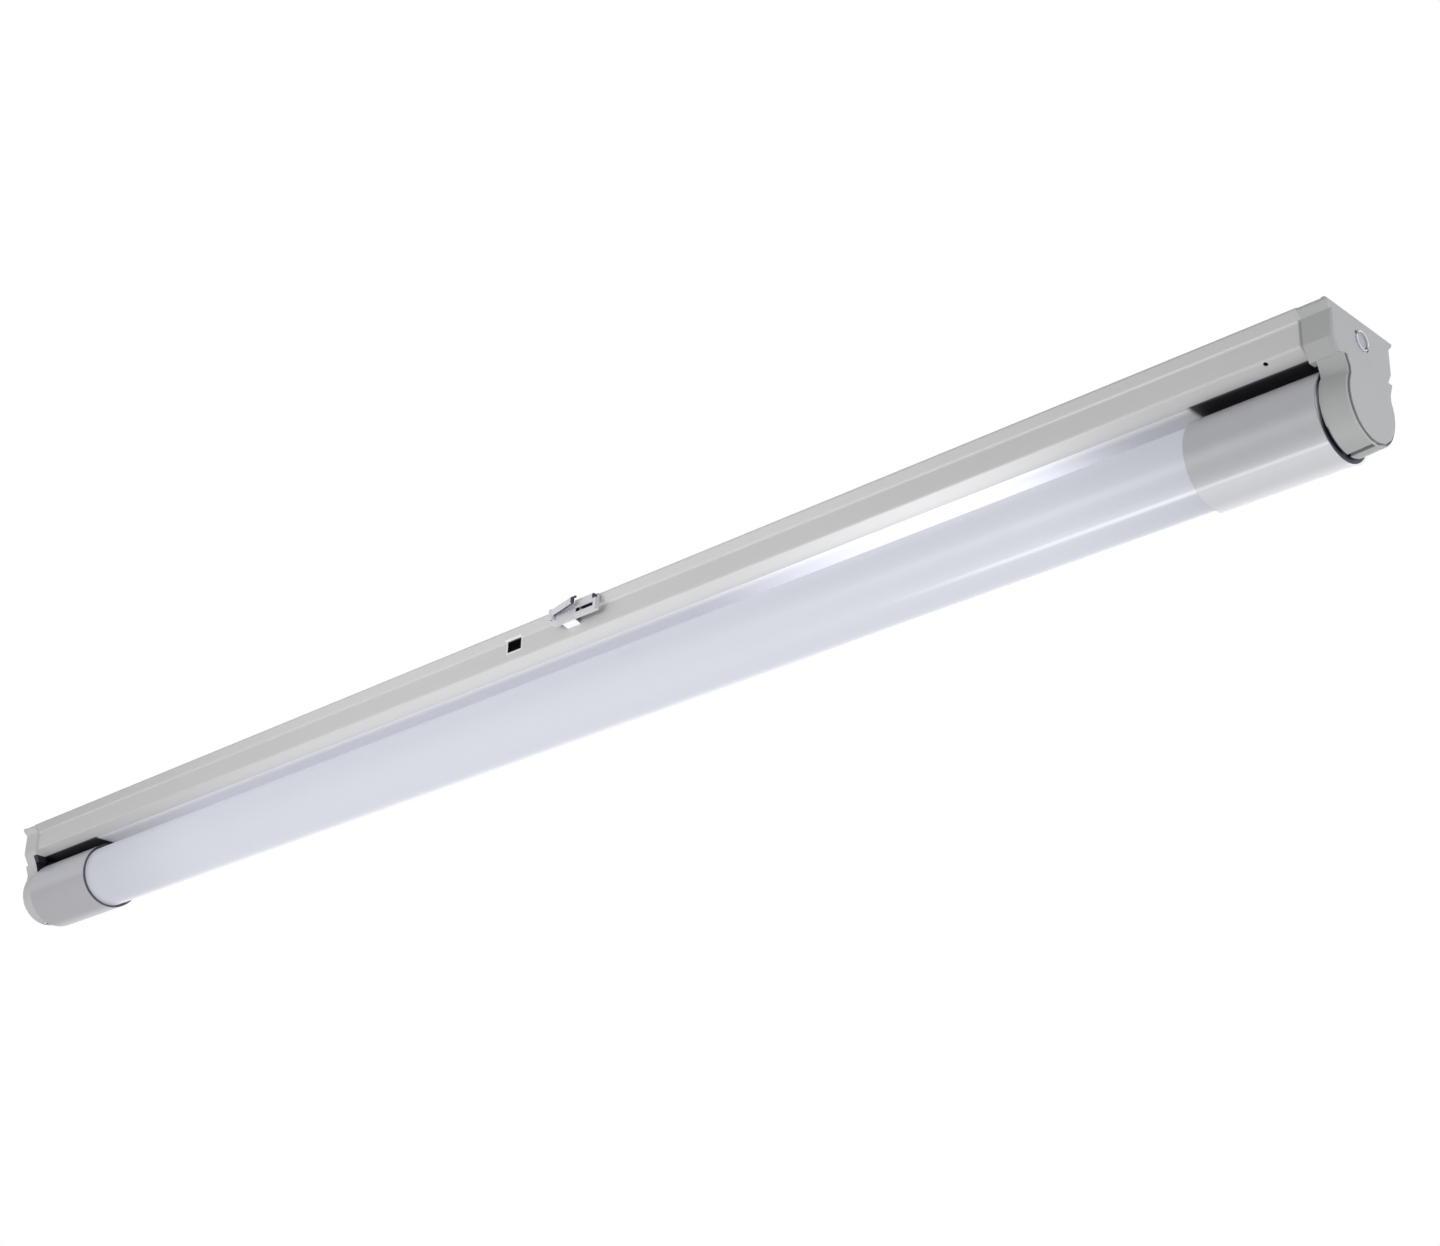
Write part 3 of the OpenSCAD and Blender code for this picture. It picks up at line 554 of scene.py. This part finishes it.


# Finishes: base colour, shade and roughness, and what tones them further, mostly with painted light and
# shade
finishes = {
    "spine_white": painted("spine_white", grey(203), grey(197), 0.42),
    "tray_zinc": metal("tray_zinc", rgb(176, 179, 184), 0.45),
    "cap_white": moulded("cap_white", rgb(173, 174, 174), rgb(168, 169, 170), 0.55, cap_shading),
    "sleeve_white": moulded("sleeve_white", rgb(180, 181, 186), rgb(174, 175, 181), 0.36, sleeve_tones),
    "rotor_white": moulded("rotor_white", rgb(226, 226, 222), rgb(216, 216, 212), 0.4),
    "base_slate": moulded("base_slate", rgb(64, 65, 76), rgb(56, 57, 68), 0.6, base_shading),
    "block_cream": moulded("block_cream", rgb(222, 220, 208), rgb(212, 209, 196), 0.5),
    "window_black": moulded("window_black", rgb(3, 3, 4), rgb(5, 5, 6), 0.95, Specular_IOR_Level=0.05),
    "plug_white": moulded("plug_white", rgb(226, 227, 233), rgb(220, 221, 228), 0.45, plug_shading),
    "matt_black": moulded("matt_black", rgb(22, 22, 26), rgb(30, 30, 34), 0.7),
    "seal_grey": moulded("seal_grey", rgb(72, 74, 88), rgb(60, 62, 74), 0.8),
    "brass": metal("brass", rgb(214, 178, 104), 0.3),
    "latch_white": moulded("latch_white", rgb(214, 214, 220), rgb(208, 208, 215), 0.34, latch_shading),
    "lever_white": moulded("lever_white", rgb(216, 216, 222), rgb(210, 210, 217), 0.34),
    "lead_red": moulded("lead_red", rgb(168, 52, 40), rgb(150, 44, 34), 0.4),
    "opal_glow": glowing("opal_glow"),
    "aluminium": metal("aluminium", rgb(200, 202, 206), 0.35),
    "board_green": moulded("board_green", rgb(24, 92, 52), rgb(18, 78, 44), 0.35),
    "chip_yellow": moulded("chip_yellow", rgb(240, 214, 110), rgb(232, 204, 96), 0.35),
}

# The CAD nodes that wear each finish
wears = {
    "spine_white": ["spine"],
    "tray_zinc": ["mounting_tray", "holder_screws", "latch_pin"],
    "cap_white": ["end_cap_left", "end_cap_right", "lampholder_left", "lampholder_right",
                  "holder_cover_left", "holder_cover_right"],
    "plug_white": ["cable_plug_left", "cable_plug_right"],
    "window_black": ["window_plate"],
    "sleeve_white": ["sleeve_left", "sleeve_right"],
    "rotor_white": ["rotor_left", "rotor_right"],
    "base_slate": ["lamp_base_left", "lamp_base_right"],
    "block_cream": ["terminal_block"],
    "matt_black": ["driver_parts"],
    "seal_grey": ["tube_seal_left", "tube_seal_right", "cable_grommet", "lever_buffer"],
    "brass": ["terminal_screws", "earth_tag", "earth_screw", "contacts_left", "contacts_right",
              "lamp_pins_left", "lamp_pins_right"],
    "latch_white": ["latch_plate"],
    "lever_white": ["latch_lever"],
    "lead_red": ["wires_left", "wires_right", "pin_leads"],
    "opal_glow": ["diffuser_tube"],
    "aluminium": ["heat_sink_rail"],
    "board_green": ["led_board", "driver_board"],
    "chip_yellow": ["led_chips"],
}

WELD_GAP = 0.002 * MM
CREASE = math.radians(40)


def smooth(obj):
    """Joins the node's triangles, shades its curves smoothly and keeps its edges crisp."""
    for face in obj.data.polygons:
        face.use_smooth = True
    weld = obj.modifiers.new("weld", "WELD")
    weld.merge_threshold = WELD_GAP
    split = obj.modifiers.new("split", "EDGE_SPLIT")
    split.split_angle = CREASE


for finish, worn_by in wears.items():
    for name in worn_by:
        piece = nodes[name]
        piece.data.materials.clear()
        piece.data.materials.append(finishes[finish].material)

for piece in nodes.values():
    smooth(piece)

# Stage: a pale floor, low enough to stay under any camera that looks up at the light
FLOOR_Z = -6
STAGE_SIZE = 40


def stage_material(name):
    """Pale matt floor to the light, and plain white to the camera."""
    shader = Shader(name, Base_Color=grey(225), Roughness=0.9)
    white = shader.node("ShaderNodeEmission", {}, {"Color": WHITE})
    shader.white_to_camera(Value(shader, shader.surface.outputs[0]), white, "Material Output")
    return shader.material


def stage_floor(name):
    mesh = bpy.data.meshes.new(name)
    shape = bmesh.new()
    bmesh.ops.create_grid(shape, x_segments=1, y_segments=1, size=STAGE_SIZE / 2)
    bmesh.ops.translate(shape, vec=(0, 0, FLOOR_Z), verts=shape.verts)
    shape.to_mesh(mesh)
    shape.free()
    obj = bpy.data.objects.new(name, mesh)
    bpy.context.scene.collection.objects.link(obj)
    obj.data.materials.append(stage_material(name + "_white"))


stage_floor("floor")

LIGHT_LEVEL = 0.49


def white_world():
    """White behind the object, and a plain soft level of light on it."""
    world = bpy.data.worlds.new("world")
    world.use_nodes = True
    sky = Graph(world.node_tree)
    soft = sky.tree.nodes["Background"]
    sky.put(soft.inputs["Color"], WHITE)
    sky.put(soft.inputs["Strength"], LIGHT_LEVEL)
    plain = sky.node("ShaderNodeBackground", {}, {"Color": WHITE})
    sky.white_to_camera(Value(sky, soft.outputs[0]), plain, "World Output")
    bpy.context.scene.world = world


white_world()


def area_light(name, place, target, size, watts, color=(1, 1, 1)):
    data = bpy.data.lights.new(name, "AREA")
    data.shape = "RECTANGLE"
    data.size, data.size_y = size
    data.energy = watts
    data.color = color
    lamp = bpy.data.objects.new(name, data)
    lamp.location = place
    lamp.rotation_euler = (Vector(target) - Vector(place)).to_track_quat("-Z", "Y").to_euler()
    bpy.context.scene.collection.objects.link(lamp)


# Lamps: the near wall, the underside, the far side and the right-hand end each have one, of a place,
# a target and a size in metres
LEFT_OF_MIDDLE = (-0.05, 0, -0.03)
UNDER_TUBE = (0.1, 0, -0.05)
RIGHT_END = (0.6, 0, -0.03)
COOL_WHITE = (0.92, 0.95, 1.0)

area_light("near_light", (-0.05, -0.85, -0.1), LEFT_OF_MIDDLE, size=(0.6, 0.3), watts=2.2)
area_light("under_light", (0.1, -0.4, -1.25), UNDER_TUBE, size=(1.2, 0.5), watts=8.5)
area_light("far_light", (-0.05, 0.95, 0.25), LEFT_OF_MIDDLE, size=(0.9, 0.4), watts=2.6)
area_light("end_light", (1.9, 0.2, -0.3), RIGHT_END, size=(0.7, 0.7), watts=11, color=COOL_WHITE)
